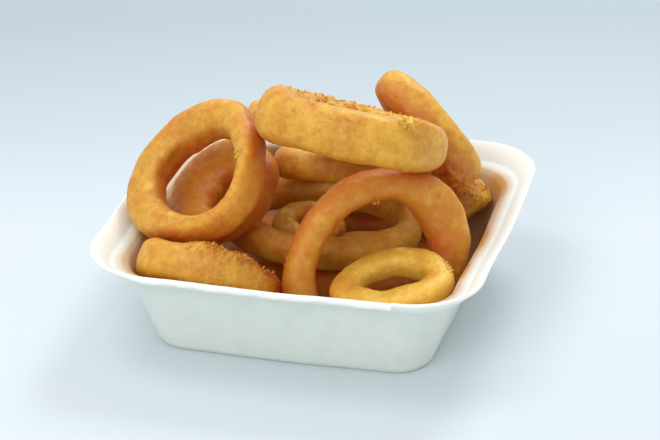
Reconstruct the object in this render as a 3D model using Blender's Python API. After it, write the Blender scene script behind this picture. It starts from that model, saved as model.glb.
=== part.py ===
"""A moulded pulp tray heaped with fifteen battered onion rings.

Blender 4.5 script. Sizes are written in millimetres and degrees, and become metres where the meshes
are made. +Z is up, -Y is the front, and the tray stands on z = 0 with its base centred on the origin.
"""

from dataclasses import dataclass

import bpy
import numpy as np

MM = 0.001
TURN = 2 * np.pi

# Tray, a square clamshell base of pressed pulp. Insets are measured in from the rim's outer edge.
TRAY_LENGTH = 152.0
TRAY_WIDTH = 149.0
SIDE_BOW = 1.0
RIM_HEIGHT = 41.4
RIM_CORNER = 26.0
PULP = 1.2
FLOOR_HEIGHT = 1.8
LEDGE_HEIGHT = 35.0
LEDGE_INSET = 6.6
WALL_TOP_INSET = 12.4
WALL_FOOT_INSET = 21.3
BASE_CORNER = 11.0
CORNER_POINTS = 8
FRONT_POINTS = 17
SIDE_POINTS = 5

# The strip of torn hinge left hanging from the front of the rim, from its left end to its pointed tip.
TEAR_START = -56.0
TEAR_TIP = 46.0
TEAR_DROP = 1.9

# Batter: how square a ring's section is (1 is round), and how uneven its band, depth and outline are.
SECTION_POWER = 0.82
BAND_UNEVEN = 0.09
DEPTH_UNEVEN = 0.07
OUTLINE_UNEVEN = 0.03
LUMP_HEIGHT = 0.15
CRAG_WAVES = 6

CRUST = (0.71, 0.36, 0.065, 1.0)
PULP_WHITE = (0.80, 0.81, 0.78, 1.0)


@dataclass
class Crag:
    """A patch of broken or swollen batter on a ring, or a shallow hollow where its height is negative."""

    at: float  # angle round the ring
    half_length: float  # degrees round the ring
    side: float  # angle round the section: 0 faces outwards, 90 along the ring's axis
    half_width: float  # degrees round the section
    height: float
    even: float = 0.35  # share of its height that the patch has everywhere: 1 is a smooth swelling


@dataclass
class Ring:
    """One battered ring."""

    name: str
    centre: tuple
    lean: float  # how far the axis leans from upright
    heading: float  # where the axis leans to, counted from +X towards +Y
    turn: float  # where the long side points, counted round the axis
    length: float  # outside, the long way
    width: float  # outside, the short way
    band: float  # batter and onion together, from hole to outside
    depth: float  # thickness along the axis
    seed: int
    bulge: tuple = (0.0, 0.0)  # share by which three sides swell, and the angle of the first
    fat: tuple = (0.0, 0.0)  # share by which the band is thicker on one side, and its angle
    crags: tuple = ()
    around: int = 36
    across: int = 12


RINGS = (
    Ring("ring_left", (-41.1, -18.4, 57.1), 42, -133, 176, 60, 65, 12, 14, 3,
         bulge=(0.043, 27), fat=(0.35, 107), around=40,
         crags=(Crag(24, 22, 50, 60, 1.0, even=1.0), Crag(104, 27, 200, 50, -2.8, even=1.0))),
    Ring("ring_top", (16.1, -6.6, 76.1), 23, 72, -60, 72, 58, 16, 18, 4, around=54, across=15,
         crags=(Crag(120, 75, 120, 70, 1.3), Crag(318, 16, 85, 35, 1.8), Crag(250, 60, 125, 25, 0.7),
                Crag(192, 24, 20, 75, 1.8, even=1.0))),
    Ring("ring_right", (33.9, 37.6, 60.4), 120, -136, 36, 56, 35.5, 15, 14, 5,
         crags=(Crag(4, 62, 100, 75, 4.5), Crag(190, 30, 340, 80, -1.4, even=1.0))),
    Ring("ring_front", (27.1, -21.9, 33.1), 69, -57, 113, 75, 61, 12.8, 13.3, 6,
         bulge=(0.053, -53), fat=(0.14, 0), around=40,
         crags=(Crag(23, 26, 0, 100, 2.0, even=1.0), Crag(344, 18, 20, 90, 1.2, even=1.0))),
    Ring("ring_front_small", (37.5, -34.4, 28.4), 9.2, -113, 134, 46.7, 38.6, 11.5, 10.5, 7),
    Ring("ring_front_left", (-32.5, -40.6, 25.8), 41, 78, -65, 56.5, 49, 15, 15.5, 8,
         around=46, across=13, crags=(Crag(280, 34, 70, 50, 2.8),)),
    Ring("ring_middle", (-2.6, 13.3, 27.4), 9, -73, 76, 80, 52, 11, 12, 9, bulge=(0.038, 35), fat=(0.2, -83)),
    Ring("ring_back_right", (42.7, 42.4, 24.3), 45, 153, -130, 31, 26, 10, 12.5, 10,
         around=28, across=10, crags=(Crag(340, 35, 0, 70, 1.0),)),
    Ring("ring_under_top", (-1, 26, 46), 21, 86, -72, 48, 38, 12.5, 12, 12, around=28, across=9),
    Ring("ring_inner_small", (-6.6, 12.2, 26.6), 14, -75, 90, 28.5, 24, 7.2, 7.6, 14,
         fat=(0.3, 225), around=24, across=9),
    Ring("ring_behind_left", (-36.7, -0.2, 42), 39, -125, 168, 47.8, 44.2, 16.1, 14, 11,
         fat=(0.34, 112), around=30, across=11),
    Ring("ring_bottom", (18.4, 14.4, 9.7), 1, 27, -12, 58, 51, 14, 12, 15, around=28, across=9),
    Ring("ring_bottom_left", (-31.2, 16, 9.4), 3, 200, 70, 51, 41, 19, 12, 16, around=24, across=8),
    Ring("ring_bottom_back", (5, 48, 17.5), 82, -92, 90, 46, 24, 10, 10, 17, around=24, across=8),
    Ring("ring_back", (-22.4, 54.2, 48.6), 19, 58, -63, 44, 34, 13, 13.5, 13, around=28, across=9),
)


def clear_scene():
    for old in list(bpy.data.objects):
        bpy.data.objects.remove(old, do_unlink=True)


def make_material(name, colour, roughness):
    """Principled material of one colour."""
    material = bpy.data.materials.new(name)
    material.use_nodes = True
    shader = material.node_tree.nodes["Principled BSDF"]
    shader.inputs["Base Color"].default_value = colour
    shader.inputs["Roughness"].default_value = roughness
    shader.inputs["Metallic"].default_value = 0.0
    return material


def add_object(name, points, faces, material):
    """Object from points in millimetres and faces as lists of point numbers, shaded smooth."""
    mesh = bpy.data.meshes.new(name)
    mesh.from_pydata([tuple(point) for point in points * MM], [], faces)
    mesh.shade_smooth()
    mesh.materials.append(material)
    obj = bpy.data.objects.new(name, mesh)
    bpy.context.scene.collection.objects.link(obj)


def quad(first_row, second_row, column, columns):
    """Face between two neighbouring rows of a grid, from this column to the next one round."""
    following = (column + 1) % columns
    return (
        first_row * columns + column,
        second_row * columns + column,
        second_row * columns + following,
        first_row * columns + following,
    )


def waves(angle, orders, height, chance):
    """Sum of sines round a ring: one per order, lower as the order rises, starting anywhere."""
    return sum(height / order * np.sin(order * angle + chance.uniform(0, TURN)) for order in orders)


def squarish(cosine):
    """Cosine or sine pushed towards a square, which makes a round section a little boxy."""
    return np.sign(cosine) * np.abs(cosine) ** SECTION_POWER


def degrees_between(angle, degrees):
    """How far an angle is from one in degrees, the short way round."""
    return (np.degrees(angle) - degrees + 180) % 360 - 180


def batter_relief(ring, u, v):
    """Low lumps all over a ring, raised further in a soft-edged patch where each crag is: by one share
    everywhere and by the rest in ragged waves."""
    chance = np.random.default_rng(ring.seed + 100)
    relief = np.zeros(np.broadcast(u, v).shape)
    for order in (3, 5, 7):
        slant = chance.integers(1, 3)
        relief = relief + LUMP_HEIGHT * np.sin(order * u + slant * v + chance.uniform(0, TURN))
    for crag in ring.crags:
        along = degrees_between(u, crag.at) / crag.half_length
        across = degrees_between(v, crag.side) / crag.half_width
        patch = np.exp(-(along**4) - across**4)
        ragged = np.zeros_like(relief)
        for _ in range(CRAG_WAVES):
            round_ring, round_section = chance.integers(9, 26), chance.integers(2, 6)
            ragged = ragged + np.sin(round_ring * u + round_section * v + chance.uniform(0, TURN))
        rough = np.abs(ragged) / np.sqrt(CRAG_WAVES)
        relief = relief + crag.height * patch * (crag.even + (1 - crag.even) * rough)
    return relief


def ring_axes(ring):
    """Unit vectors along a ring's long side, its short side and its axis."""
    lean, heading, turn = np.radians([ring.lean, ring.heading, ring.turn])
    axis = np.array([np.sin(lean) * np.cos(heading), np.sin(lean) * np.sin(heading), np.cos(lean)])
    downhill = np.array([np.cos(lean) * np.cos(heading), np.cos(lean) * np.sin(heading), -np.sin(lean)])
    level = np.cross(axis, downhill)
    long_way = downhill * np.cos(turn) + level * np.sin(turn)
    short_way = level * np.cos(turn) - downhill * np.sin(turn)
    return long_way, short_way, axis


def ring_points(ring):
    """Points of a ring, a row for each step round it: a squarish oval section carried along an uneven
    oval path, with u the angle round the ring and v the angle round its section."""
    chance = np.random.default_rng(ring.seed)
    u = np.linspace(0, TURN, ring.around, endpoint=False)[:, None]
    v = np.linspace(0, TURN, ring.across, endpoint=False)[None, :]
    fat = 1 + ring.fat[0] * np.cos(u - np.radians(ring.fat[1]))
    half_band = ring.band / 2 * (fat + waves(u, range(1, 5), BAND_UNEVEN, chance))
    half_depth = ring.depth / 2 * (1 + waves(u, range(1, 5), DEPTH_UNEVEN, chance))
    bulge = ring.bulge[0] * np.cos(3 * (u - np.radians(ring.bulge[1])))
    outline = 1 + bulge + waves(u, range(2, 5), OUTLINE_UNEVEN, chance)
    path_x = (ring.length - ring.band) / 2 * np.cos(u) * outline
    path_y = (ring.width - ring.band) / 2 * np.sin(u) * outline
    run_x = np.roll(path_x, -1, 0) - np.roll(path_x, 1, 0)
    run_y = np.roll(path_y, -1, 0) - np.roll(path_y, 1, 0)
    run = np.hypot(run_x, run_y)
    relief = batter_relief(ring, u, v)
    sideways = half_band * squarish(np.cos(v)) + relief * np.cos(v)
    upwards = half_depth * squarish(np.sin(v)) + relief * np.sin(v)
    x = path_x + run_y / run * sideways
    y = path_y - run_x / run * sideways
    long_way, short_way, axis = ring_axes(ring)
    in_plane = x[..., None] * long_way + y[..., None] * short_way
    return np.array(ring.centre) + in_plane + upwards[..., None] * axis


def add_ring(ring, material):
    faces = []
    for row in range(ring.around):
        for column in range(ring.across):
            faces.append(quad(row, (row + 1) % ring.around, column, ring.across))
    add_object(ring.name, ring_points(ring).reshape(-1, 3), faces, material)


def rounded_square(half_x, half_y, corner):
    """Points anticlockwise round a square with rounded corners and slightly bowed sides, from the right
    end of its back right corner. The front side has the most points, for the torn strip."""
    half_x, half_y = half_x - SIDE_BOW, half_y - SIDE_BOW
    corners = ((1, 1), (-1, 1), (-1, -1), (1, -1))
    side_points = (SIDE_POINTS, SIDE_POINTS, FRONT_POINTS, SIDE_POINTS)
    points = []
    for number, (right, back) in enumerate(corners):
        start = number * TURN / 4
        end = start + TURN / 4
        sweep = np.linspace(start, end, CORNER_POINTS)
        arc_x = right * (half_x - corner) + corner * np.cos(sweep)
        arc_y = back * (half_y - corner) + corner * np.sin(sweep)
        points.extend(zip(arc_x, arc_y))
        next_right, next_back = corners[(number + 1) % 4]
        side_end_x = next_right * (half_x - corner) + corner * np.cos(end)
        side_end_y = next_back * (half_y - corner) + corner * np.sin(end)
        share = np.linspace(0, 1, side_points[number] + 2)[1:-1]
        bow = SIDE_BOW * np.sin(np.pi * share) ** 2
        side_x = arc_x[-1] + (side_end_x - arc_x[-1]) * share + bow * np.cos(end)
        side_y = arc_y[-1] + (side_end_y - arc_y[-1]) * share + bow * np.sin(end)
        points.extend(zip(side_x, side_y))
    return np.array(points)


def tray_profile():
    """Stations down the inside from the rim's edge to the floor, and up the outside from the base:
    inset, height, corner radius, and how much of the torn strip's drop that station takes."""
    inside = (
        (0.0, RIM_HEIGHT - 0.5, RIM_CORNER, 0.7),
        (0.6, RIM_HEIGHT, RIM_CORNER - 0.5, 0.3),
        (2.4, RIM_HEIGHT - 1.4, RIM_CORNER - 1.5, 0.0),
        (LEDGE_INSET - 1.0, LEDGE_HEIGHT + 1.6, RIM_CORNER - 4.0, 0.0),
        (LEDGE_INSET, LEDGE_HEIGHT + 0.4, RIM_CORNER - 4.8, 0.0),
        (WALL_TOP_INSET - 1.8, LEDGE_HEIGHT - 0.4, RIM_CORNER - 6.0, 0.0),
        (WALL_TOP_INSET, LEDGE_HEIGHT - 1.6, RIM_CORNER - 7.0, 0.0),
        (WALL_TOP_INSET + 0.8, LEDGE_HEIGHT - 3.2, RIM_CORNER - 7.5, 0.0),
        (WALL_FOOT_INSET + 0.4, FLOOR_HEIGHT + 3.4, BASE_CORNER + 2.5, 0.0),
        (WALL_FOOT_INSET + 1.9, FLOOR_HEIGHT + 1.2, BASE_CORNER + 1.4, 0.0),
        (WALL_FOOT_INSET + 4.5, FLOOR_HEIGHT, BASE_CORNER - 0.5, 0.0),
    )
    outside = (
        (WALL_FOOT_INSET + 7.5, FLOOR_HEIGHT - PULP, BASE_CORNER - 2.0, 0.0),
        (WALL_FOOT_INSET + 5.0, 0.0, BASE_CORNER - 0.6, 0.0),
        (WALL_FOOT_INSET + 1.5, 0.0, BASE_CORNER + 1.8, 0.0),
        (WALL_FOOT_INSET, 2.0, BASE_CORNER + 3.2, 0.0),
        (WALL_TOP_INSET - 0.5, LEDGE_HEIGHT - 3.4, RIM_CORNER - 6.6, 0.0),
        (WALL_TOP_INSET - 1.3, LEDGE_HEIGHT - 2.2, RIM_CORNER - 6.0, 0.0),
        (LEDGE_INSET - 0.4, LEDGE_HEIGHT - 0.8, RIM_CORNER - 4.4, 0.0),
        (LEDGE_INSET - 1.9, LEDGE_HEIGHT + 0.6, RIM_CORNER - 3.2, 0.0),
        (1.7, RIM_HEIGHT - 2.4, RIM_CORNER - 0.8, 0.4),
        (0.4, RIM_HEIGHT - 1.8, RIM_CORNER - 0.3, 1.0),
    )
    return inside, outside


def tear_drop(x, y):
    """How far the torn strip hangs below the rim: ragged, fading in at its left end, longest just
    before its tip and nothing beyond it."""
    share = (x - TEAR_START) / (TEAR_TIP - TEAR_START)
    on_strip = (y < -TRAY_WIDTH / 2 + RIM_CORNER / 2) & (share > 0) & (share < 1)
    fade_in = np.clip(share * 12, 0, 1)
    tip = np.clip(share - 0.8, 0, 1)
    ragged = 0.85 + 0.12 * np.sin(23 * share) + 0.1 * np.sin(57 * share + 1)
    return np.where(on_strip, TEAR_DROP * fade_in * (ragged + tip), 0.0)


def add_tray(material):
    """Outline stations joined into one closed shell: down the inside, across, and up the outside."""
    inside, outside = tray_profile()
    loops = []
    for inset, height, corner, torn in inside + outside:
        x, y = rounded_square(TRAY_LENGTH / 2 - inset, TRAY_WIDTH / 2 - inset, corner).T
        loops.append(np.column_stack([x, y, height - torn * tear_drop(x, y)]))
    columns = len(loops[0])
    floor, base = len(inside) - 1, len(inside)
    faces = [
        [floor * columns + column for column in range(columns)],
        [base * columns + column for column in reversed(range(columns))],
    ]
    for row in range(len(loops)):
        if row != floor:
            faces.extend(quad((row + 1) % len(loops), row, column, columns) for column in range(columns))
    add_object("tray", np.concatenate(loops), faces, material)


clear_scene()
add_tray(make_material("pressed_pulp", PULP_WHITE, 0.6))
crust = make_material("fried_batter", CRUST, 0.5)
for one_ring in RINGS:
    add_ring(one_ring, crust)
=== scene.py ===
"""A moulded pulp tray heaped with battered onion rings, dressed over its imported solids.

Sizes are written in millimetres and degrees and become metres where a mesh is made. +Z is up, -Y is
the front, and the tray stands on z = 0 with its base centred on the origin.
"""

from dataclasses import dataclass

import bmesh
import bpy
import numpy as np
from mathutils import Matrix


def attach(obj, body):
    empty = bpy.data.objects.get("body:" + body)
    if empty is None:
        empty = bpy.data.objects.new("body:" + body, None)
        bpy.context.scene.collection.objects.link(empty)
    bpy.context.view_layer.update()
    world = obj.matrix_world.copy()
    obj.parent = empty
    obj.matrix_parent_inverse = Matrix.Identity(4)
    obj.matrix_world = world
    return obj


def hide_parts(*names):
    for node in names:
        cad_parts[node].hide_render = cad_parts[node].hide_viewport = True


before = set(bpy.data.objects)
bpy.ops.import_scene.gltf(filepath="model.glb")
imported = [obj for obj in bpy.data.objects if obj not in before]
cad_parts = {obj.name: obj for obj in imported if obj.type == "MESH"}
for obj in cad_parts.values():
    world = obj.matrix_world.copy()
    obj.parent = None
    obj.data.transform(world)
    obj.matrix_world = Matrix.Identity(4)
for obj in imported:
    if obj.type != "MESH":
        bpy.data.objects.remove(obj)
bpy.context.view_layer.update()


# The tabletop and the studio
# A sheet of pale blue-white paper lies under the tray, photographed from above the front right corner
# with a long lens. White walls all round give most of the light, and softboxes behind, in front and
# overhead give the rest.

MM = 0.001
TURN = 2 * np.pi


def linear(hex_colour):
    """Linear colour from an sRGB hex string: each channel over 12.92 near black, a 2.4 power above."""
    srgb = np.array([int(hex_colour[i : i + 2], 16) / 255 for i in (1, 3, 5)])
    curve = np.where(srgb <= 0.04045, srgb / 12.92, ((srgb + 0.055) / 1.055) ** 2.4)
    return (*curve, 1.0)


def new_material(name):
    """Empty material and its node tree's shader, a Principled BSDF."""
    material = bpy.data.materials.new(name)
    material.use_nodes = True
    return material, material.node_tree.nodes["Principled BSDF"]


def add_node(material, kind, settings=None, **inputs):
    """Adds a node to a material. Settings are its properties. Each input, named with underscores for
    spaces or by an underscore and its number, is a value or another node's output that is linked."""
    node = material.node_tree.nodes.new(kind)
    for key, value in (settings or {}).items():
        setattr(node, key, value)
    for key, value in inputs.items():
        socket = node.inputs[int(key[1:])] if key[0] == "_" else node.inputs[key.replace("_", " ")]
        if isinstance(value, bpy.types.NodeSocket):
            material.node_tree.links.new(value, socket)
        else:
            socket.default_value = value
    return node


def ramp(material, factor, stops):
    """Colour ramp through (place, hex colour) stops."""
    node = add_node(material, "ShaderNodeValToRGB", Fac=factor)
    elements = node.color_ramp.elements
    while len(elements) < len(stops):
        elements.new(0.5)
    for element, (place, colour) in zip(elements, stops):
        element.position = place
        element.color = linear(colour)
    return node.outputs["Color"]


PAPER_HALF = 1500.0
PAPER_NEAR = np.array([15.7, -57.9, 0.0])
PAPER_FADE = 400.0
PAPER_HEADING = np.radians(105.2)


def paper_sweep():
    """Matt background paper, a pale blue-white round the tray and a greyer blue towards its far end,
    which is painted shade, the light falling off away from the lamps.
    The colour follows a straight line that starts at PAPER_NEAR, heads away from the camera and runs
    for PAPER_FADE."""
    material, shader = new_material("background_paper")
    here = add_node(material, "ShaderNodeTexCoord").outputs["Object"]
    away = add_node(
        material, "ShaderNodeMapping", {"vector_type": "TEXTURE"}, Vector=here,
        Location=PAPER_NEAR * MM, Rotation=(0.0, 0.0, PAPER_HEADING), Scale=(PAPER_FADE * MM, 1.0, 1.0),
    )
    straight = {"gradient_type": "LINEAR"}
    fade = add_node(material, "ShaderNodeTexGradient", straight, Vector=away.outputs[0])
    # painted shade: the stops grow greyer and darker away from the tray
    stops = (
        (0.1, "#D5DFE6"), (0.3, "#D4DDE4"), (0.41, "#CCD8E0"),
        (0.56, "#C3CED6"), (0.72, "#BAC6CE"), (0.9, "#B1BEC6"),
    )
    colour = ramp(material, fade.outputs["Fac"], stops)
    material.node_tree.links.new(colour, shader.inputs["Base Color"])
    shader.inputs["Roughness"].default_value = 0.9
    shader.inputs["Specular IOR Level"].default_value = 0.1
    return material


paper_mesh = bpy.data.meshes.new("background_paper")
paper_corners = np.array([(-1, -1, 0), (1, -1, 0), (1, 1, 0), (-1, 1, 0)]) * PAPER_HALF * MM
paper_mesh.from_pydata(paper_corners.tolist(), [], [(0, 1, 2, 3)])
paper_mesh.materials.append(paper_sweep())
paper = bpy.data.objects.new("background_paper", paper_mesh)
bpy.context.scene.collection.objects.link(paper)

CAMERA_TARGET = np.array([1.67, 9.4, 30.58])
CAMERA_DISTANCE = 1074.25
CAMERA_AZIMUTH = np.radians(15.208)
CAMERA_ELEVATION = np.radians(25.711)
CAMERA_ROLL = np.radians(-0.871)
CAMERA_LENS = 150.96
CAMERA_SENSOR = 36.0


def aim(obj, place, target, roll=0.0):
    """Puts a camera or light at a place, in millimetres, so that its -Z axis looks at a target."""
    back = (place - target) / np.linalg.norm(place - target)
    right = np.cross((0.0, 0.0, 1.0), back)
    right /= np.linalg.norm(right)
    up = np.cross(back, right)
    rolled_right = right * np.cos(roll) + up * np.sin(roll)
    rolled_up = up * np.cos(roll) - right * np.sin(roll)
    matrix = np.eye(4)
    matrix[:3] = np.stack([rolled_right, rolled_up, back, place * MM], -1)
    obj.matrix_world = matrix.T.tolist()
    bpy.context.scene.collection.objects.link(obj)


camera_back = np.array([
    np.sin(CAMERA_AZIMUTH) * np.cos(CAMERA_ELEVATION),
    -np.cos(CAMERA_AZIMUTH) * np.cos(CAMERA_ELEVATION),
    np.sin(CAMERA_ELEVATION),
])
camera_data = bpy.data.cameras.new("camera")
camera_data.lens = CAMERA_LENS
camera_data.sensor_width = CAMERA_SENSOR
camera_data.sensor_fit = "HORIZONTAL"
camera = bpy.data.objects.new("camera", camera_data)
aim(camera, CAMERA_TARGET + camera_back * CAMERA_DISTANCE, CAMERA_TARGET, CAMERA_ROLL)
bpy.context.scene.camera = camera


HEAP_MIDDLE = np.array([0.0, 0.0, 40.0])


def soft_light(name, place, side, watts, colour):
    """Square softbox of this side, in millimetres, aimed at the heap's middle."""
    data = bpy.data.lights.new(name, "AREA")
    data.size = side * MM
    data.energy = watts
    data.color = linear(colour)[:3]
    aim(bpy.data.objects.new(name, data), np.array(place), HEAP_MIDDLE)


soft_light("overhead_softbox", (-265.0, -71.0, 751.0), 380.0, 1.25, "#F6FAFF")
soft_light("back_softbox", (122.0, 570.0, 686.0), 300.0, 2.8, "#F4F9FF")
soft_light("front_softbox", (-120.0, -820.0, 620.0), 500.0, 2.4, "#FFFDFA")

world = bpy.data.worlds.new("studio_room")
world.use_nodes = True
world.node_tree.nodes["Background"].inputs["Color"].default_value = linear("#FFFDF8")
world.node_tree.nodes["Background"].inputs["Strength"].default_value = 0.78
bpy.context.scene.world = world
bpy.context.scene.view_settings.view_transform = "Standard"


# The tray
# Half of a hinged takeaway clamshell, pressed from wet sugar-cane and wood pulp between two warm
# moulds, so the wall is one even skin with rounded steps. The lid was torn off along its hinge,
# which leaves a ragged strip hanging from the front of the rim.

TRAY_LENGTH = 152.0
TRAY_WIDTH = 149.0
SIDE_BOW = 1.0
RIM_HEIGHT = 41.4
RIM_CORNER = 26.0
PULP = 1.2
FLOOR_HEIGHT = 1.8
LEDGE_HEIGHT = 35.0
LEDGE_INSET = 6.6
WALL_TOP_INSET = 12.4
WALL_FOOT_INSET = 21.3
BASE_CORNER = 11.0
CENTRE_INSET = 72.4
PULP_ROUNDING = 0.55
FLAT_FOOT = 4.0
WAVINESS = (0.3, 0.3, 0.22)
WAVE_LENGTH = 26.0

TEAR_START = -56.0
TEAR_TIP = 46.0
TEAR_DROP = 1.9
FIBRE_WIDTH = 1.7

# Heights over which the rim is painted lighter, then the fade and patch size of the painted warm shade
# inside
PAINTED_LIGHT_FROM = 34.0
PAINTED_LIGHT_TO = 40.0
SHADE_FADE = 0.8
SHADE_PATCH = 14.0
OIL_SPOT = np.array([17.0, -55.6, 9.6])
OIL_SPOT_REACH = np.array([1.6, 4.0, 2.2])

# The section's points, with the length of flat and the angle of bend that get equal shares of them,
# then the points round each corner and along each side. The front, with the torn strip, has most.
TRAY_ROWS = 150
FLAT_SPACING = 2.6
BEND_SPACING = np.radians(9)
ARC_POINTS = 30
SIDE_POINTS = (78, 78, 160, 78)


def noise_hash(lattice, seed):
    """Numbers from 0 to 1 for whole-number lattice points, scrambled by multiplying and shifting."""
    mixed = lattice[..., 0] * 73856093 ^ lattice[..., 1] * 19349663 ^ lattice[..., 2] * 83492791
    mixed = (mixed ^ (seed * 2654435761)) & 0xFFFFFFFF
    for multiplier in (0x7FEB352D, 0x846CA68B):
        mixed = ((mixed ^ (mixed >> 16)) * multiplier) & 0xFFFFFFFF
    return (mixed ^ (mixed >> 15)) / 0xFFFFFFFF


def gentle_noise(points, cell, seed):
    """Gradient noise, about -1 to 1: each corner of a cubic lattice has a random slope, and the eight
    round a point are blended by a smooth step of its place between them."""
    scaled = points / cell
    low = np.floor(scaled).astype(np.int64)
    share = scaled - low
    blend = share**3 * (share * (share * 6 - 15) + 10)
    total = np.zeros(points.shape[:-1])
    for corner in np.ndindex(2, 2, 2):
        lattice = low + corner
        slopes = [noise_hash(lattice, seed * 3 + axis) * 2 - 1 for axis in range(3)]
        rise = sum(slope * (share[..., axis] - corner[axis]) for axis, slope in enumerate(slopes))
        total += rise * np.prod(np.where(corner, blend, 1 - blend), axis=-1)
    return total * 1.6


def smooth_piece(name, points, faces, material, **attributes):
    """Object of a mesh in millimetres, shaded smooth, with a number at each point for each attribute."""
    mesh = bpy.data.meshes.new(name)
    mesh.from_pydata((points.reshape(-1, 3) * MM).tolist(), [], faces)
    mesh.shade_smooth()
    for key, values in attributes.items():
        attribute = mesh.attributes.new(key, "FLOAT", "POINT")
        attribute.data.foreach_set("value", values.ravel().astype(np.float32))
    mesh.materials.append(material)
    obj = bpy.data.objects.new(name, mesh)
    bpy.context.scene.collection.objects.link(obj)
    return obj


def grid_faces(rows, columns, closed_rows):
    """Quads of a grid whose columns close round, and whose rows do too where asked."""
    row = np.arange(rows if closed_rows else rows - 1)[:, None]
    column = np.arange(columns)[None, :]
    next_row, next_column = (row + 1) % rows, (column + 1) % columns
    quads = [row * columns + column, next_row * columns + column]
    quads += [next_row * columns + next_column, row * columns + next_column]
    return np.stack(np.broadcast_arrays(*quads), -1).reshape(-1, 4).tolist()


def tray_section():
    """Rows of inset, height, corner radius and torn share, along one path from the floor's centre up
    the inside, over the rim and down the outside to the base's centre. The path runs straight between
    its stations, is rounded by a running mean, and is then read closest together where it bends."""
    stations = np.array([
        (CENTRE_INSET, FLOOR_HEIGHT, 0.6, 0.0),
        (WALL_FOOT_INSET + 4.5, FLOOR_HEIGHT, BASE_CORNER - 0.5, 0.0),
        (WALL_FOOT_INSET + 1.9, FLOOR_HEIGHT + 1.2, BASE_CORNER + 1.4, 0.0),
        (WALL_FOOT_INSET + 0.4, FLOOR_HEIGHT + 3.4, BASE_CORNER + 2.5, 0.0),
        (WALL_TOP_INSET + 0.8, LEDGE_HEIGHT - 3.2, RIM_CORNER - 7.5, 0.0),
        (WALL_TOP_INSET, LEDGE_HEIGHT - 1.6, RIM_CORNER - 7.0, 0.0),
        (WALL_TOP_INSET - 1.8, LEDGE_HEIGHT - 0.4, RIM_CORNER - 6.0, 0.0),
        (LEDGE_INSET, LEDGE_HEIGHT + 0.4, RIM_CORNER - 4.8, 0.0),
        (LEDGE_INSET - 1.0, LEDGE_HEIGHT + 1.6, RIM_CORNER - 4.0, 0.0),
        (2.4, RIM_HEIGHT - 1.4, RIM_CORNER - 1.5, 0.0),
        (0.6, RIM_HEIGHT, RIM_CORNER - 0.5, 0.3),
        (0.0, RIM_HEIGHT - 0.5, RIM_CORNER, 0.7),
        (0.4, RIM_HEIGHT - 1.8, RIM_CORNER - 0.3, 1.0),
        (1.7, RIM_HEIGHT - 2.4, RIM_CORNER - 0.8, 0.4),
        (LEDGE_INSET - 1.9, LEDGE_HEIGHT + 0.6, RIM_CORNER - 3.2, 0.0),
        (LEDGE_INSET - 0.4, LEDGE_HEIGHT - 0.8, RIM_CORNER - 4.4, 0.0),
        (WALL_TOP_INSET - 1.3, LEDGE_HEIGHT - 2.2, RIM_CORNER - 6.0, 0.0),
        (WALL_TOP_INSET - 0.5, LEDGE_HEIGHT - 3.4, RIM_CORNER - 6.6, 0.0),
        (WALL_FOOT_INSET, 2.0, BASE_CORNER + 3.2, 0.0),
        (WALL_FOOT_INSET + 1.5, 0.0, BASE_CORNER + 1.8, 0.0),
        (WALL_FOOT_INSET + 5.0, 0.0, BASE_CORNER - 0.6, 0.0),
        (WALL_FOOT_INSET + 7.5, FLOOR_HEIGHT - PULP, BASE_CORNER - 2.0, 0.0),
        (CENTRE_INSET, FLOOR_HEIGHT - PULP, 0.6, 0.0),
    ])
    run = np.concatenate([[0], np.cumsum(np.hypot(*np.diff(stations[:, :2], axis=0).T))])
    step = 0.1
    fine = np.arange(0, run[-1], step)
    path = np.stack([np.interp(fine, run, column) for column in stations.T], -1)
    reach = int(PULP_ROUNDING / step)
    kernel = np.ones(2 * reach + 1) / (2 * reach + 1)
    for _ in range(2):
        padded = np.pad(path, ((reach, reach), (0, 0)), mode="edge")
        path = np.stack([np.convolve(column, kernel, "valid") for column in padded.T], -1)
    heading = np.unwrap(np.arctan2(np.gradient(path[:, 1]), np.gradient(path[:, 0])))
    crowding = np.cumsum(step / FLAT_SPACING + np.abs(np.gradient(heading)) / BEND_SPACING)
    crowding = (crowding - crowding[0]) / (crowding[-1] - crowding[0])
    even_steps = np.linspace(0, 1, TRAY_ROWS)
    return np.stack([np.interp(even_steps, crowding, column) for column in path.T], -1)


def bowed_square(half_x, half_y, corner):
    """Points anticlockwise round squares with rounded corners, one square per row: four quarter
    circles joined by straight sides that bow outwards by a squared sine."""
    half_x, half_y = (half_x - SIDE_BOW)[:, None], (half_y - SIDE_BOW)[:, None]
    corner = corner[:, None]
    x, y = [], []
    corners = ((1, 1), (-1, 1), (-1, -1), (1, -1))
    for number, side_points in enumerate(SIDE_POINTS):
        start = number * TURN / 4
        end = start + TURN / 4
        sweep = np.linspace(start, end, ARC_POINTS)[None, :]
        right, back = corners[number]
        arc_x = right * (half_x - corner) + corner * np.cos(sweep)
        arc_y = back * (half_y - corner) + corner * np.sin(sweep)
        next_right, next_back = corners[(number + 1) % 4]
        end_x = next_right * (half_x - corner) + corner * np.cos(end)
        end_y = next_back * (half_y - corner) + corner * np.sin(end)
        share = np.linspace(0, 1, side_points + 2)[None, 1:-1]
        bow = SIDE_BOW * np.sin(np.pi * share) ** 2
        x += [arc_x, arc_x[:, -1:] * (1 - share) + end_x * share + bow * np.cos(end)]
        y += [arc_y, arc_y[:, -1:] * (1 - share) + end_y * share + bow * np.sin(end)]
    return np.concatenate(x, 1), np.concatenate(y, 1)


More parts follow.
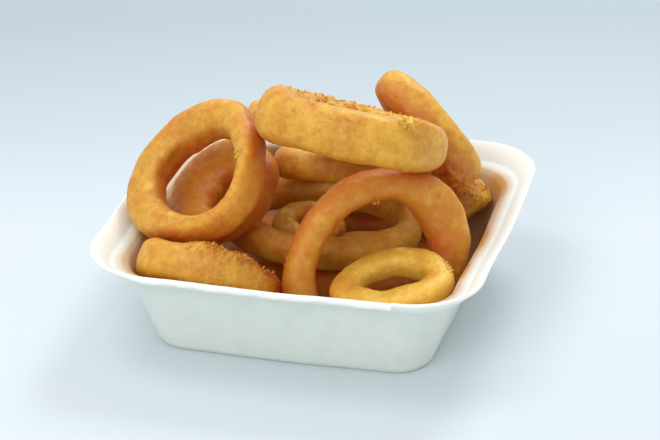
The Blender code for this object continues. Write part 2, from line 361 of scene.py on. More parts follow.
def tear_drop(x, y):
    """How far the torn strip hangs below the rim: slow and fast sines with fine fibres on them, fading
    in at the left end, longest just before the tip and nothing beyond it."""
    share = (x - TEAR_START) / (TEAR_TIP - TEAR_START)
    on_strip = (y < -TRAY_WIDTH / 2 + RIM_CORNER / 2) & (share > 0) & (share < 1)
    fade_in = np.clip(share * 12, 0, 1)
    tip = np.clip(share - 0.8, 0, 1)
    ragged = 0.85 + 0.12 * np.sin(23 * share) + 0.1 * np.sin(57 * share + 1)
    fibres = 0.12 * gentle_noise(np.stack([x, 0 * x, 0 * x], -1), FIBRE_WIDTH, 5)
    return np.where(on_strip, TEAR_DROP * fade_in * (ragged + tip + fibres), 0.0)


def tray_points():
    """Grid of the tray: the section's rows carried round bowed squares, with the torn strip pulled
    down and the slow waviness of a wall that dried unevenly, which fades out towards the flat foot."""
    inset, height, corner, torn = tray_section().T
    x, y = bowed_square(TRAY_LENGTH / 2 - inset, TRAY_WIDTH / 2 - inset, corner)
    z = height[:, None] - torn[:, None] * tear_drop(x, y)
    points = np.stack([x, y, z], -1)
    off_table = np.clip(z / FLAT_FOOT, 0, 1)[..., None]
    shift = np.stack([gentle_noise(points, WAVE_LENGTH, seed) for seed in (1, 2, 3)], -1)
    return points + shift * WAVINESS * off_table


def painted_shade_in_pulp(grid):
    """Share of painted warm shade on the pulp, 0 to 1, standing for the shade and the light bounced from
    the rings: none above the ledge and on the outside, and below the ledge on the inside a share that
    varies by noise."""
    inside = np.arange(TRAY_ROWS)[:, None] < np.argmax(grid[:, 0, 2] > RIM_HEIGHT - 1.0)
    below_ledge = np.clip((LEDGE_HEIGHT + 0.2 - grid[..., 2]) / SHADE_FADE, 0, 1)
    patchy = 0.8 + 0.4 * gentle_noise(grid, SHADE_PATCH, 8)
    return np.clip(patchy, 0.5, 1.0) * inside * below_ledge


def closed_by_fans(columns):
    """Faces of the tray: the grid's, and fans that close the floor and the base. Their middles are the
    last two points, that of the floor first."""
    column = np.arange(columns)
    following = (column + 1) % columns
    last_row = (TRAY_ROWS - 1) * columns
    middle = np.full(columns, TRAY_ROWS * columns)
    floor = np.stack([middle, column, following], -1)
    base = np.stack([middle + 1, last_row + following, last_row + column], -1)
    return grid_faces(TRAY_ROWS, columns, closed_rows=False) + floor.tolist() + base.tolist()


def blended(material, share, first, second):
    """Colour between two, the first where the share is 0 and the second where it is 1."""
    node = add_node(material, "ShaderNodeMix", {"data_type": "RGBA"}, _0=share, _6=first, _7=second)
    return node.outputs[2]


def pressed_pulp():
    """Sugar-cane pulp pressed against a fine wire mould: matt, off-white, faintly cloudy where fibres
    lie thicker, at 7 mm, with a felted surface. The real fibres are under 0.1 mm, so they are drawn at
    0.5 mm. The top of the rim is painted whitest, painted light where it faces the lamps; the inner wall
    below the ledge is painted a warm tan, painted shade and light bounced from the rings; and one drop
    of oil has come through the front wall. A little light sinks into the pulp and softens its steps."""
    material, shader = new_material("pressed_pulp")
    here = add_node(material, "ShaderNodeTexCoord").outputs["Object"]
    clouds = add_node(material, "ShaderNodeTexNoise", Vector=here, Scale=140.0, Detail=4.0, Roughness=0.6)
    stops = ((0.3, "#DCE3DE"), (0.55, "#E0E7E2"), (0.75, "#E3EAE5"))
    cloudy = ramp(material, clouds.outputs["Fac"], stops)
    # painted light: the pulp turns whiter towards the top of the rim, where it faces the lamps
    rim = add_node(
        material, "ShaderNodeMapRange", From_Min=PAINTED_LIGHT_FROM * MM, From_Max=PAINTED_LIGHT_TO * MM,
        Value=add_node(material, "ShaderNodeSeparateXYZ", Vector=here).outputs["Z"],
    )
    white = blended(material, rim.outputs[0], cloudy, linear("#FAFCF8"))
    # painted shade and bounce light: a warm tan inside, below the ledge
    soaked = add_node(material, "ShaderNodeAttribute", {"attribute_name": "oil_soaked"}).outputs["Fac"]
    warm = blended(material, soaked, white, linear("#C48F50"))
    spot = add_node(
        material, "ShaderNodeMapping", {"vector_type": "TEXTURE"}, Vector=here,
        Location=OIL_SPOT * MM, Scale=OIL_SPOT_REACH * MM,
    )
    ball = {"gradient_type": "SPHERICAL"}
    inside_spot = add_node(material, "ShaderNodeTexGradient", ball, Vector=spot.outputs[0]).outputs["Fac"]
    faint = add_node(material, "ShaderNodeMapRange", Value=inside_spot, From_Max=0.5, To_Max=0.5)
    stained_and_shaded = blended(material, faint.outputs[0], warm, linear("#E3DFC2"))
    material.node_tree.links.new(stained_and_shaded, shader.inputs["Base Color"])
    felt = add_node(
        material, "ShaderNodeTexNoise", Vector=here, Scale=1900.0, Detail=3.0, Roughness=0.65
    )
    press = add_node(material, "ShaderNodeTexNoise", Vector=here, Scale=420.0, Detail=2.0)
    height = add_node(
        material, "ShaderNodeMath", {"operation": "MULTIPLY_ADD"}, _0=press.outputs["Fac"], _1=0.8,
        _2=felt.outputs["Fac"],
    )
    bump = add_node(
        material, "ShaderNodeBump", Height=height.outputs[0], Strength=0.25, Distance=0.2 * MM
    )
    material.node_tree.links.new(bump.outputs[0], shader.inputs["Normal"])
    shader.inputs["Roughness"].default_value = 0.72
    shader.inputs["Specular IOR Level"].default_value = 0.3
    shader.inputs["Subsurface Weight"].default_value = 0.15
    shader.inputs["Subsurface Radius"].default_value = (2.0 * MM, 1.8 * MM, 1.6 * MM)
    shader.inputs["Subsurface Scale"].default_value = 1.0
    return material


tray_grid = tray_points()
tray_middles = np.stack([tray_grid[0].mean(0), tray_grid[-1].mean(0)])
shaded_middles = [0.6, 0.0]
tray = smooth_piece(
    "pulp_tray",
    np.concatenate([tray_grid.reshape(-1, 3), tray_middles]),
    closed_by_fans(tray_grid.shape[1]),
    pressed_pulp(),
    oil_soaked=np.append(painted_shade_in_pulp(tray_grid), shaded_middles),
)
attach(tray, "root")
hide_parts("tray")


# The onion rings
# Cross slices of large onions, each floured, dipped in a smooth batter and deep-fried. The batter
# runs and swells before it sets, so every ring is an uneven tube, mostly smooth with shallow dimples
# and broken into crumbly crags where it splashed.

SECTION_POWER = 0.82
BAND_UNEVEN = 0.09
DEPTH_UNEVEN = 0.07
OUTLINE_UNEVEN = 0.03
LUMP_HEIGHT = 0.15

DIMPLE_SIZE, DIMPLE_HEIGHT = 8.0, 0.28
GRAIN_SIZE, GRAIN_HEIGHT = 2.6, 0.12
FINE_SIZE, FINE_HEIGHT = 1.2, 0.05
CRUMB_SIZE, CRUMB_HEIGHT = 2.4, 0.8
SMALL_CRUMB_SIZE, SMALL_CRUMB_HEIGHT = 1.25, 0.5
GRAINY_PATCH = 17.0

USUAL_BROWNING = 0.42
SHADE_BALLS = 24
SHADE_STEP = 10
OPEN_SKY = 0.1
DEEP_SHADE = 1.5


@dataclass
class Crag:
    """A patch of broken or swollen batter: its middle and reach in degrees round the ring, then round
    the section (0 faces outwards, 90 along the ring's axis), its height, and the share of that height
    that is one smooth swelling."""

    at: float
    half_length: float
    side: float
    half_width: float
    height: float
    even: float = 0.35


@dataclass
class Mark:
    """A small place that stands out: where it is in degrees round the ring and round the section, its
    radius and height in millimetres, and how much darker it is, or paler where that is negative. Most
    are darker or paler batter; on ring_front_small one is painted shade and two are painted highlights."""

    at: float
    side: float
    radius: float
    height: float
    darker: float


@dataclass
class Ring:
    """One ring: the solid it stands for, its centre, the lean, heading and turn of its axis, its length,
    width, band and depth, and a seed. Bulge swells three sides and fat thickens one, each by a share
    and at an angle. Tone is how much darker it fried than the rest, or paler where that is negative;
    on ring_middle, ring_under_top and ring_inner_small the paler tone is painted light that brightens
    them deep in the heap. Grainy is how much of it is rough with fine crumbs."""

    node: str
    centre: tuple
    tilt: tuple
    size: tuple
    seed: int
    bulge: tuple = (0.0, 0.0)
    fat: tuple = (0.0, 0.0)
    crags: tuple = ()
    marks: tuple = ()
    tone: float = 0.0
    grainy: float = 0.15
    rows: int = 300
    columns: int = 100


RINGS = (
    # leans on the left
    Ring(
        "ring_left", centre=(-41.1, -18.4, 57.1), tilt=(42, -133, 176), size=(60, 65, 12, 14), seed=3,
        bulge=(0.043, 27), fat=(0.35, 107), tone=0.04, grainy=0.3, rows=480, columns=160,
        crags=(Crag(24, 22, 50, 60, 1.0, even=1.0), Crag(104, 27, 200, 50, -2.8, even=1.0)),
        marks=(
            Mark(144, 132, 1.9, 0.15, -0.2), Mark(169, 153, 1.4, 0.1, -0.2),
            Mark(204, 123, 1.6, 0.1, -0.2), Mark(317, 111, 1.2, 0.3, -0.2),
            Mark(202, 96, 1.8, 0.1, 0.1),
        ),
    ),
    # lies on top of the heap, broken open along its back
    Ring(
        "ring_top", centre=(16.1, -6.6, 76.1), tilt=(23, 72, -60), size=(72, 58, 16, 18), seed=4,
        rows=500, columns=180,
        crags=(
            Crag(120, 75, 120, 70, 1.3), Crag(318, 16, 85, 35, 1.8), Crag(250, 60, 125, 25, 0.7),
            Crag(192, 24, 20, 75, 1.8, even=1.0),
        ),
        marks=(
            Mark(215, 60, 0.5, -0.15, 0.3), Mark(236, 66, 0.7, -0.15, 0.3),
            Mark(288, 51, 0.5, -0.15, 0.4), Mark(303, 63, 0.5, -0.15, 0.4),
            Mark(306, 66, 2.4, 0.6, -0.3), Mark(191, 81, 0.6, 0.6, 0.0),
            Mark(312, 297, 1.6, 0.5, 0.0), Mark(235, 333, 1.3, -0.25, 0.12),
            Mark(270, 336, 1.5, -0.3, 0.12), Mark(337, 21, 1.5, 0.1, -0.15),
        ),
    ),
    # stands on end at the back right
    Ring(
        "ring_right", centre=(33.9, 37.6, 60.4), tilt=(120, -136, 36), size=(56, 35.5, 15, 14), seed=5,
        rows=400, columns=150,
        crags=(Crag(4, 62, 100, 75, 4.5), Crag(190, 30, 340, 80, -1.4, even=1.0)),
        marks=(
            Mark(144, 0, 0.4, -0.1, 0.35), Mark(113, 3, 0.4, -0.1, 0.35),
            Mark(86, 0, 0.4, -0.1, 0.35), Mark(30, 20, 5.0, 0.0, 0.12),
        ),
    ),
    # the largest, nearly upright at the front right
    Ring(
        "ring_front", centre=(27.1, -21.9, 33.1), tilt=(69, -57, 113), size=(75, 61, 12.8, 13.3), seed=6,
        bulge=(0.053, -53), fat=(0.14, 0), tone=0.04, rows=520, columns=150,
        crags=(Crag(23, 26, 0, 100, 2.0, even=1.0), Crag(344, 18, 20, 90, 1.2, even=1.0)),
        marks=(
            Mark(28, 69, 0.5, -0.2, 0.35), Mark(18, 72, 0.45, -0.2, 0.35), Mark(69, 150, 1.1, 0.8, 0.0),
            Mark(147, 357, 0.8, 0.6, 0.1), Mark(152, 357, 0.7, 0.5, 0.1),
        ),
    ),
    # lies in the front right corner of the tray
    Ring(
        "ring_front_small", centre=(37.5, -34.4, 28.4), tilt=(9.2, -113, 134),
        size=(46.7, 38.6, 11.5, 10.5), seed=7, tone=-0.26, rows=400, columns=140,
        marks=(
            # the first mark is painted shade on the left end; the next two are small real bumps painted
            # paler as highlights
            Mark(192, 87, 7.0, 0.0, 0.3), Mark(73, 78, 2.2, 0.15, -0.3), Mark(62, 93, 1.7, 0.1, -0.25),
            Mark(10, 51, 0.6, 0.15, 0.6), Mark(354, 33, 0.7, 0.15, 0.6),
        ),
    ),
    # lies at the front left, flaky and needled along its top
    Ring(
        "ring_front_left", centre=(-32.5, -40.6, 25.8), tilt=(41, 78, -65), size=(56.5, 49, 15, 15.5),
        seed=8, grainy=0.4, rows=440, columns=160, crags=(Crag(280, 34, 70, 50, 2.8),),
        marks=(
            Mark(260, 48, 1.4, 0.3, -0.2), Mark(266, 33, 1.2, 0.3, 0.2), Mark(338, 35, 7.0, 0.0, 0.2),
        ),
    ),
    # wide and flat in the middle, half seen through ring_front; its paler tone is painted light,
    # brightening a ring that lies in the heap's shade
    Ring(
        "ring_middle", centre=(-2.6, 13.3, 27.4), tilt=(9, -73, 76), size=(80, 52, 11, 12), seed=9,
        bulge=(0.038, 35), fat=(0.2, -83), tone=-0.2, rows=460, columns=130,
        marks=(Mark(255, 60, 0.5, -0.15, 0.4),),
    ),
    # shows its rough end under ring_right
    Ring(
        "ring_back_right", centre=(42.7, 42.4, 24.3), tilt=(45, 153, -130), size=(31, 26, 10, 12.5),
        seed=10, grainy=0.5, crags=(Crag(340, 35, 0, 70, 1.0),),
    ),
    # shows in the gap under ring_top; its paler tone is painted light, brightening a ring that lies in
    # the heap's shade
    Ring(
        "ring_under_top", centre=(-1, 26, 46), tilt=(21, 86, -72), size=(48, 38, 12.5, 12), seed=12,
        tone=-0.22, marks=(Mark(239, 20, 4.5, 0.0, -0.3),),
    ),
    # the smallest, inside ring_middle; its paler tone is painted light, brightening a ring that lies in
    # the heap's shade
    Ring(
        "ring_inner_small", centre=(-6.6, 12.2, 26.6), tilt=(14, -75, 90), size=(28.5, 24, 7.2, 7.6),
        seed=14, fat=(0.3, 225), tone=-0.2, marks=(Mark(157, 87, 1.8, 0.3, -0.3),),
    ),
    # shows through the hole of ring_left
    Ring(
        "ring_behind_left", centre=(-36.7, -0.2, 42), tilt=(39, -125, 168), size=(47.8, 44.2, 16.1, 14),
        seed=11, fat=(0.34, 112),
    ),
    # three in deep shade, on the floor and against the back wall
    Ring(
        "ring_bottom", centre=(18.4, 14.4, 9.7), tilt=(1, 27, -12), size=(58, 51, 14, 12), seed=15,
        marks=(Mark(40, 76, 1.8, 0.8, -0.4),),
    ),
    Ring("ring_bottom_left", centre=(-31.2, 16, 9.4), tilt=(3, 200, 70), size=(51, 41, 19, 12), seed=16),
    Ring("ring_bottom_back", centre=(5, 48, 17.5), tilt=(82, -92, 90), size=(46, 24, 10, 10), seed=17),
    # shows one end over the left end of ring_top
    Ring("ring_back", centre=(-22.4, 54.2, 48.6), tilt=(19, 58, -63), size=(44, 34, 13, 13.5), seed=13),
)


def waves(angle, orders, height, chance):
    """Sum of sines round a ring: one per order, lower as the order rises, starting anywhere."""
    return sum(height / order * np.sin(order * angle + chance.uniform(0, TURN)) for order in orders)


def squarish(cosine):
    """Cosine or sine pushed towards a square, which makes a round section a little boxy."""
    return np.sign(cosine) * np.abs(cosine) ** SECTION_POWER


def degrees_between(angle, degrees):
    """How far an angle is from one in degrees, the short way round."""
    return (np.degrees(angle) - degrees + 180) % 360 - 180


def crumb_domes(points, cell, seed):
    """Heights from 0 to 1 of round crumbs packed on a surface: each cube of a lattice holds one crumb
    at a random place, and a point takes the highest dome over it. A dome is the crumb's size, less
    the squared distance from its middle over that size."""
    scaled = points / cell
    low = np.floor(scaled).astype(np.int64)
    highest = np.zeros(points.shape[:-1])
    for offset in np.ndindex(3, 3, 3):
        lattice = low + np.array(offset) - 1
        place = np.stack([noise_hash(lattice, seed * 5 + axis) for axis in range(3)], -1)
        size = 0.45 + 0.5 * noise_hash(lattice, seed * 5 + 3)
        distance = ((scaled - lattice - place) ** 2).sum(-1)
        highest = np.maximum(highest, size * np.clip(1 - distance / size**2, 0, 1))
    return highest


def ring_frame(lean, heading, turn):
    """Unit vectors along a ring's long side, its short side and its axis."""
    lean, heading, turn = np.radians([lean, heading, turn])
    axis = np.array([np.sin(lean) * np.cos(heading), np.sin(lean) * np.sin(heading), np.cos(lean)])
    downhill = np.array([np.cos(lean) * np.cos(heading), np.cos(lean) * np.sin(heading), -np.sin(lean)])
    level = np.cross(axis, downhill)
    long_way = downhill * np.cos(turn) + level * np.sin(turn)
    short_way = level * np.cos(turn) - downhill * np.sin(turn)
    return long_way, short_way, axis


def low_lumps(u, v, seed):
    """Slow swellings all over a ring: three sines slanting round it."""
    chance = np.random.default_rng(seed + 100)
    lumps = 0
    for order in (3, 5, 7):
        slant = chance.integers(1, 3)
        lumps = lumps + LUMP_HEIGHT * np.sin(order * u + slant * v + chance.uniform(0, TURN))
    return lumps


def broken_batter(core, u, v, ring):
    """Height of the broken batter and where it is. Each patch fades at its edge, and within it the
    height follows noise at 6 mm, bent by slower noise and folded at its middle, so that ridges and
    hollows run anyhow."""
    height = np.zeros(core.shape[:-1])
    broken = np.zeros(core.shape[:-1])
    bend = np.stack([gentle_noise(core, 11.0, ring.seed + axis) for axis in (21, 22, 23)], -1)
    ridges = 1 - np.abs(gentle_noise(core + 4.0 * bend, 6.0, ring.seed + 30)) * 2.2
    rough = np.clip(0.55 * ridges + 0.55 * gentle_noise(core, 3.4, ring.seed + 31) + 0.2, 0, 1.3)
    for crag in ring.crags:
        along = degrees_between(u, crag.at) / crag.half_length
        across = degrees_between(v, crag.side) / crag.half_width
        patch = np.exp(-(along**4) - across**4)
        height = height + crag.height * patch * (crag.even + (1 - crag.even) * rough)
        broken = np.maximum(broken, patch * min(crag.height * (1 - crag.even), 1.0))
    return height, broken


def outward_of(points):
    """Outward unit normals of a ring's grid, from the cross product of its two directions."""
    round_ring = np.roll(points, -1, 0) - np.roll(points, 1, 0)
    round_section = np.roll(points, -1, 1) - np.roll(points, 1, 1)
    normals = np.cross(round_ring, round_section)
    return normals / np.linalg.norm(normals, axis=-1, keepdims=True)


def tube_path(ring):
    """Points along the middle line of a ring's tube, which is nearly an oval."""
    length, width, band, _ = ring.size
    angle = np.linspace(0, TURN, SHADE_BALLS, endpoint=False)[:, None]
    long_way, short_way, _ = ring_frame(*ring.tilt)
    round_path = (length - band) * np.cos(angle) * long_way + (width - band) * np.sin(angle) * short_way
    return np.array(ring.centre) + round_path / 2


def between_steps(count):
    """For each of a ring's rows or columns, the worked-out ones before and after it, and how far on it
    lies. The last one is followed by the first."""
    worked_out = np.arange(0, count, SHADE_STEP)
    numbers = np.arange(len(worked_out) + 1)
    place = np.interp(np.arange(count), np.append(worked_out, count), numbers)
    before = place.astype(int)
    return before, (before + 1) % len(worked_out), place - before


def painted_heap_shade(points, ring):
    """Painted shade, 0 to 1: how deep in the heap each point lies, where light comes only from crust to
    crust and turns red. Each other ring hides from a point the share of the sky that its tube's balls
    cover, each a squared radius over a squared distance, weighed by how squarely the point faces it.
    Every tenth point each way is worked out, and the rest run straight between."""
    at = points[::SHADE_STEP, ::SHADE_STEP]
    facing = outward_of(points)[::SHADE_STEP, ::SHADE_STEP]
    hidden = np.zeros(at.shape[:2])
    for other in RINGS:
        if other.node != ring.node:
            away = tube_path(other) - at[:, :, None]
            distance = np.linalg.norm(away, axis=-1)
            squarely = np.clip((away * facing[:, :, None]).sum(-1) / distance, 0, 1)
            radius = (other.size[2] + other.size[3]) / 4
            hidden += (squarely * np.clip(radius / distance, 0, 1) ** 2).sum(-1)
    hidden = np.clip((hidden - OPEN_SKY) / (DEEP_SHADE - OPEN_SKY), 0, 1)
    before, after, share = between_steps(ring.rows)
    share = share[:, None]
    hidden = hidden[before] * (1 - share) + hidden[after] * share
    before, after, share = between_steps(ring.columns)
    return hidden[:, before] * (1 - share) + hidden[:, after] * share


def crust(core, broken, ring):
    """Height of the fine relief on a ring and its colour value at each point, fried colour with painted
    shade added. The relief is gentle noise for dimples and grain, small crumbs where the ring is grainy,
    and crumbs of two sizes where it's broken. The fried colour follows slow and quick noise and the tops
    of all these, with paler crumbs on grainy places; painted shade is added on top, darker and redder
    where other rings shade a point. Marks fade by the cube of the distance."""
    seed = ring.seed
    dimples = gentle_noise(core, DIMPLE_SIZE, seed)
    grain = gentle_noise(core, GRAIN_SIZE, seed + 40)
    fine = gentle_noise(core, FINE_SIZE, seed + 80)
    grainy = np.clip(gentle_noise(core, GRAINY_PATCH, seed + 20) * 2.0 + ring.grainy, 0, 1)
    crumbs = crumb_domes(core, CRUMB_SIZE, seed)
    small_crumbs = crumb_domes(core, SMALL_CRUMB_SIZE, seed + 9)

    relief = DIMPLE_HEIGHT * dimples + GRAIN_HEIGHT * grain + FINE_HEIGHT * fine
    relief = relief + grainy * (0.18 * small_crumbs + 0.08 * fine)
    torn = CRUMB_HEIGHT * crumbs**1.3 + SMALL_CRUMB_HEIGHT * small_crumbs + 0.2 * fine
    relief = relief + broken * torn

    browning = USUAL_BROWNING + ring.tone + 0.08 * dimples + 0.06 * grain
    browning = browning + 0.10 * gentle_noise(core, 21.0, seed + 60)
    browning = browning + 0.10 * gentle_noise(core, 4.6, seed + 70)
    browning = browning + broken * (0.3 * (crumbs - 0.35) + 0.2 * (small_crumbs - 0.4))
    browning = browning - 0.10 * grainy * (small_crumbs - 0.3)
    # painted shade: points deep in the heap are coloured darker and redder, standing in for the light
    # there
    browning = browning + 0.30 * painted_heap_shade(core, ring)

    uneven = 1 + 0.35 * gentle_noise(core, 1.6, seed + 90)
    for mark in ring.marks:
        row = int(mark.at / 360 * ring.rows) % ring.rows
        middle = core[row, int(mark.side / 360 * ring.columns)]
        spot = np.exp(-((np.linalg.norm(core - middle, axis=-1) / mark.radius * uneven) ** 3))
        relief = relief + mark.height * spot
        browning = browning + mark.darker * spot
    return relief, browning


def ring_surface(ring):
    """Grid of a ring, its colour value at each point, fried colour with painted shade added, and how
    broken each point is. A squarish oval section is carried along an uneven oval path, u round the ring
    and v round the section. The lumps, the broken batter and the crust's relief are added along its
    outward direction."""
    length, width, band, depth = ring.size
    chance = np.random.default_rng(ring.seed)
    u = np.linspace(0, TURN, ring.rows, endpoint=False)[:, None]
    v = np.linspace(0, TURN, ring.columns, endpoint=False)[None, :]
    thick = 1 + ring.fat[0] * np.cos(u - np.radians(ring.fat[1]))
    half_band = band / 2 * (thick + waves(u, range(1, 5), BAND_UNEVEN, chance))
    half_depth = depth / 2 * (1 + waves(u, range(1, 5), DEPTH_UNEVEN, chance))
    swell = ring.bulge[0] * np.cos(3 * (u - np.radians(ring.bulge[1])))
    outline = 1 + swell + waves(u, range(2, 5), OUTLINE_UNEVEN, chance)
    path_x = (length - band) / 2 * np.cos(u) * outline
    path_y = (width - band) / 2 * np.sin(u) * outline
    run_x = np.roll(path_x, -1, 0) - np.roll(path_x, 1, 0)
    run_y = np.roll(path_y, -1, 0) - np.roll(path_y, 1, 0)
    run = np.hypot(run_x, run_y)
    long_way, short_way, axis = ring_frame(*ring.tilt)

    def placed(relief):
        sideways = half_band * squarish(np.cos(v)) + relief * np.cos(v)
        upwards = half_depth * squarish(np.sin(v)) + relief * np.sin(v)
        x = (path_x + run_y / run * sideways)[..., None]
        y = (path_y - run_x / run * sideways)[..., None]
        return np.array(ring.centre) + x * long_way + y * short_way + upwards[..., None] * axis

    lumps = low_lumps(u, v, ring.seed)
    core = placed(lumps)
    crags, broken = broken_batter(core, u, v, ring)
    relief, browning = crust(core, broken, ring)
    return placed(lumps + crags + relief), browning, broken


def fried_batter(name, glow):
    """Wheat batter fried to a thin crust: pale gold where it stayed thin, deeper orange where it fried
    darker, and redder where painted shade deep in the heap is added to its colour value, mottled at
    2 mm, with a film of oil that gives soft highlights, pores under 1 mm that break them up, and light
    that sinks in a few millimetres and comes back redder. Specks of burnt flour are about 0.5 mm. Glow
    is the share of the light that sinks in."""
    material, shader = new_material(name)
    here = add_node(material, "ShaderNodeTexCoord").outputs["Object"]
    # the attribute holds the fried colour with painted heap shade added
    browned_and_shaded = add_node(material, "ShaderNodeAttribute", {"attribute_name": "browning"}).outputs["Fac"]
    mottle = add_node(
        material, "ShaderNodeTexNoise", Vector=here, Scale=430.0, Detail=5.0, Roughness=0.65
    ).outputs["Fac"]
    mottled = add_node(
        material, "ShaderNodeMath", {"operation": "MULTIPLY_ADD"}, _0=mottle, _1=0.55, _2=browned_and_shaded
    )
    centred = add_node(
        material, "ShaderNodeMath", {"operation": "SUBTRACT", "use_clamp": True},
        _0=mottled.outputs[0], _1=0.275,
    )
    stops = (
        (0.05, "#F2C85A"), (0.35, "#D9A93C"), (0.55, "#CA8C2A"), (0.8, "#C86C22"), (1.0, "#B4521B"),
    )
    golden = ramp(material, centred.outputs[0], stops)
    flecks = add_node(
        material, "ShaderNodeTexNoise", Vector=here, Scale=900.0, Detail=1.0, Roughness=0.4
    ).outputs["Fac"]
    fleck = add_node(
        material, "ShaderNodeMapRange", Value=flecks, From_Min=0.79, From_Max=0.83, To_Max=0.5
    )
    speckled = blended(material, fleck.outputs[0], golden, linear("#7A3D14"))
    material.node_tree.links.new(speckled, shader.inputs["Base Color"])
    shine = add_node(
        material, "ShaderNodeMapRange", Value=mottle, From_Min=0.3, From_Max=0.7, To_Min=0.36, To_Max=0.52
    )
    material.node_tree.links.new(shine.outputs[0], shader.inputs["Roughness"])
    pores = add_node(material, "ShaderNodeTexNoise", Vector=here, Scale=1200.0, Detail=3.0).outputs["Fac"]
    bump = add_node(material, "ShaderNodeBump", Height=pores, Strength=0.5, Distance=0.3 * MM)
    material.node_tree.links.new(bump.outputs[0], shader.inputs["Normal"])
    shader.inputs["Subsurface Weight"].default_value = glow
    shader.inputs["Subsurface Radius"].default_value = (9.0 * MM, 3.0 * MM, 1.0 * MM)
    shader.inputs["Subsurface Scale"].default_value = 1.0
    shader.inputs["Specular IOR Level"].default_value = 0.4
    return material


batter = fried_batter("fried_batter", 0.85)
surfaces = {ring.node: ring_surface(ring) for ring in RINGS}
for ring in RINGS:
    ring_grid, browning, _ = surfaces[ring.node]
    ring_faces = grid_faces(ring.rows, ring.columns, closed_rows=True)
    ring_piece = smooth_piece("battered_" + ring.node, ring_grid, ring_faces, batter, browning=browning)
    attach(ring_piece, "root")
    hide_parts(ring.node)


# The crumbs
# Drops of batter that splashed, fried through and stuck to the rings: most lie on the broken patches,
# a few anywhere on top, and some stand up along an edge like short needles.

CRUMB_SEED = 77
CRAG_CRUMBS = 420
STRAY_CRUMBS = 90


@dataclass
class CrumbRow:
    """Crumbs along one stretch of a ring: from and to in degrees round it, where round the section, how
    far they scatter to each side in degrees, how many, their size, and how long they stand up."""

    node: str
    start: float
    end: float
    side: float
    scatter: float
    number: int
    size: float
    stretch: float = 1.0


CRUMB_ROWS = (
    CrumbRow("ring_front_left", 264, 300, 54, 16, 30, 0.32, 1.7),
    CrumbRow("ring_front_left", 294, 334, 54, 10, 34, 0.34, 2.2),
    CrumbRow("ring_front_left", 258, 338, 45, 34, 60, 0.3),
    CrumbRow("ring_left", 212, 332, 100, 10, 50, 0.3),
    CrumbRow("ring_left", 314, 322, 112, 8, 5, 0.6),
    CrumbRow("ring_front_small", 348, 372, 42, 20, 20, 0.34, 1.2),
    CrumbRow("ring_front", 66, 72, 150, 8, 3, 0.6, 1.3),
    CrumbRow("ring_top", 216, 318, 34, 8, 40, 0.26),
    CrumbRow("ring_top", 298, 314, 64, 20, 24, 0.5),
    CrumbRow("ring_right", -30, 40, 60, 50, 34, 0.4),
    CrumbRow("ring_back_right", 290, 360, 350, 60, 34, 0.4),
    CrumbRow("ring_bottom", 36, 46, 78, 12, 7, 0.9),
)


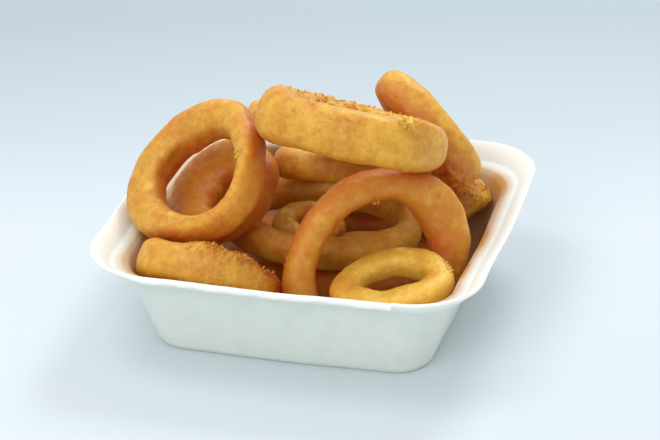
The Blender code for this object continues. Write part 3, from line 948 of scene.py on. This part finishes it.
def crumb_places():
    """Places, outward directions, sizes, stretches and colour values of every crumb, each the fried
    colour with the painted shade of the point it sits on: the rows first, then crumbs drawn at random
    from the broken points, then strays from all points that face upwards."""
    chance = np.random.default_rng(CRUMB_SEED)
    found = []
    for row in CRUMB_ROWS:
        points, browning, _ = surfaces[row.node]
        rows, columns = browning.shape
        around = chance.uniform(row.start, row.end, row.number) / 360 * rows
        section = chance.normal(row.side, row.scatter / 2, row.number) / 360 * columns
        at = (around.astype(int) % rows, section.astype(int) % columns)
        size = row.size * chance.uniform(0.6, 1.4, row.number)
        stretch = 1 + (row.stretch - 1) * chance.uniform(0.3, 1.3, row.number)
        found.append((points[at], outward_of(points)[at], size, stretch, browning[at]))
    points = np.concatenate([grid.reshape(-1, 3) for grid, _, _ in surfaces.values()])
    normals = np.concatenate([outward_of(grid).reshape(-1, 3) for grid, _, _ in surfaces.values()])
    browning = np.concatenate([brown.ravel() for _, brown, _ in surfaces.values()])
    broken = np.concatenate([patch.ravel() for _, _, patch in surfaces.values()])
    facing_up = np.clip(normals[:, 2], 0, 1) * (points[:, 2] > 25)
    on_crags = (broken**2, CRAG_CRUMBS, 0.22, 0.55)
    stray = (facing_up, STRAY_CRUMBS, 0.18, 0.34)
    for weights, number, smallest, largest in (on_crags, stray):
        at = chance.choice(len(points), number, p=weights / weights.sum())
        size = smallest + (largest - smallest) * chance.uniform(0, 1, number) ** 2
        found.append((points[at], normals[at], size, chance.uniform(0.8, 1.5, number), browning[at]))
    return [np.concatenate(column) for column in zip(*found)]


def crumb_mesh():
    """Points, faces and colour values of all crumbs, fried colour with painted shade: each is an
    icosahedron split once, its corners pushed in and out at random, stretched along the direction it
    stands in and sunk by a third."""
    ball = bpy.data.meshes.new("crumb_form")
    builder = bmesh.new()
    bmesh.ops.create_icosphere(builder, subdivisions=2, radius=1.0)
    builder.to_mesh(ball)
    builder.free()
    corners = np.empty(len(ball.vertices) * 3)
    ball.vertices.foreach_get("co", corners)
    corners = corners.reshape(-1, 3)
    triangles = np.array([tuple(face.vertices) for face in ball.polygons])
    bpy.data.meshes.remove(ball)
    places, outward, size, stretch, browning = crumb_places()
    chance = np.random.default_rng(CRUMB_SEED + 1)
    outward = outward + chance.normal(0, 0.25, outward.shape)
    outward /= np.linalg.norm(outward, axis=-1, keepdims=True)
    aside = np.cross(outward, chance.normal(0, 1, outward.shape))
    aside /= np.linalg.norm(aside, axis=-1, keepdims=True)
    across = np.cross(outward, aside)
    lumpy = corners[None] * chance.uniform(0.72, 1.18, (len(places), len(corners), 1))
    lumpy = lumpy * size[:, None, None]
    rise = lumpy[..., 2:] * stretch[:, None, None] + (size * (stretch - 0.65))[:, None, None]
    points = places[:, None] + lumpy[..., :1] * aside[:, None] + lumpy[..., 1:2] * across[:, None]
    points = points + rise * outward[:, None]
    faces = triangles[None] + (np.arange(len(places)) * len(corners))[:, None, None]
    paler_or_browner = chance.uniform(-0.2, 0.05, len(places))
    shade = browning + paler_or_browner
    return points, faces.reshape(-1, 3).tolist(), np.repeat(shade, len(corners))


crumb_points, crumb_faces, crumb_browning = crumb_mesh()
crisp = fried_batter("crisp_crumb", 0.0)
crumbs = smooth_piece("batter_crumbs", crumb_points, crumb_faces, crisp, browning=crumb_browning)
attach(crumbs, "root")

bpy.context.view_layer.update()
